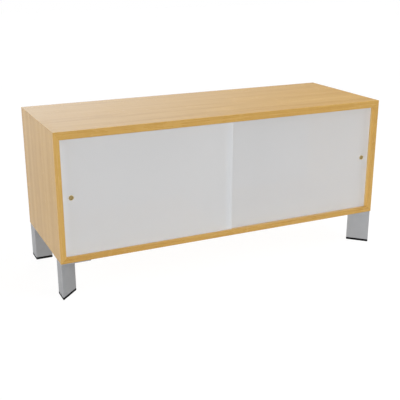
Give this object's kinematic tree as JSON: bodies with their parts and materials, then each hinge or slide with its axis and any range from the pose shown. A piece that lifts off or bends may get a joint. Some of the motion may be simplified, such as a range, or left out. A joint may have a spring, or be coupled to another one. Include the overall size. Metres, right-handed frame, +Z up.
{
  "type": "sliding door cabinet",
  "caption": "Low wooden cabinet on three-sided metal legs, with frosted sliding doors that run in double tracks across a divided interior.",
  "frame": {"origin": "on the floor, under the middle of the case", "axes": "+X to the right along the length, +Y to the back, +Z up; the doors face -Y"},
  "size_m": [1.2, 0.43, 0.55],
  "materials": {
    "case_wood": "pale birch veneer, satin lacquer",
    "band_wood": "birch edge band, satin lacquer",
    "inner_wood": "pale birch veneer, matt",
    "raw_wood": "unfinished beech and plywood",
    "track_plastic": "wood-coloured extruded plastic",
    "frosted_panel": "frosted translucent acrylic",
    "pull_brass": "satin old brass",
    "leg_metal": "silver grey powder coat",
    "foot_plastic": "black moulded plastic",
    "screw_steel": "zinc plated steel"
  },
  "bodies": {
    "case": {"top_panel": "case_wood", "top_edge_band": "band_wood", "bottom_panel": "case_wood", "bottom_edge_band": "band_wood", "left_side_panel": "case_wood", "left_edge_band": "band_wood", "right_side_panel": "case_wood", "right_edge_band": "band_wood", "top_left_corner_tongue": "raw_wood", "bottom_left_corner_tongue": "raw_wood", "top_right_corner_tongue": "raw_wood", "bottom_right_corner_tongue": "raw_wood", "back_panel": "inner_wood", "centre_partition": "inner_wood", "partition_edge_band": "band_wood", "partition_top_dowel_1": "raw_wood", "partition_top_dowel_2": "raw_wood", "partition_top_dowel_3": "raw_wood", "partition_bottom_dowel_1": "raw_wood", "partition_bottom_dowel_2": "raw_wood", "partition_bottom_dowel_3": "raw_wood", "lower_track": "track_plastic", "upper_track": "track_plastic", "front_left_leg_plate": "leg_metal", "front_left_leg_post": "leg_metal", "front_left_foot": "foot_plastic", "front_left_leg_screw_1": "screw_steel", "front_left_leg_screw_2": "screw_steel", "front_left_leg_screw_3": "screw_steel", "front_left_leg_screw_4": "screw_steel", "back_left_leg_plate": "leg_metal", "back_left_leg_post": "leg_metal", "back_left_foot": "foot_plastic", "back_left_leg_screw_1": "screw_steel", "back_left_leg_screw_2": "screw_steel", "back_left_leg_screw_3": "screw_steel", "back_left_leg_screw_4": "screw_steel", "front_right_leg_plate": "leg_metal", "front_right_leg_post": "leg_metal", "front_right_foot": "foot_plastic", "front_right_leg_screw_1": "screw_steel", "front_right_leg_screw_2": "screw_steel", "front_right_leg_screw_3": "screw_steel", "front_right_leg_screw_4": "screw_steel", "back_right_leg_plate": "leg_metal", "back_right_leg_post": "leg_metal", "back_right_foot": "foot_plastic", "back_right_leg_screw_1": "screw_steel", "back_right_leg_screw_2": "screw_steel", "back_right_leg_screw_3": "screw_steel", "back_right_leg_screw_4": "screw_steel"},
    "left_slider": {"left_door": "frosted_panel", "left_door_pull": "pull_brass"},
    "right_slider": {"right_door": "frosted_panel", "right_door_pull": "pull_brass"}
  },
  "joints": [
    {"name": "left_door_slide", "type": "slide", "parent": "case", "child": "left_slider", "axis": [1, 0, 0], "range_m": [0, 0.57]},
    {"name": "right_door_slide", "type": "slide", "parent": "case", "child": "right_slider", "axis": [1, 0, 0], "range_m": [-0.57, 0]}
  ]
}
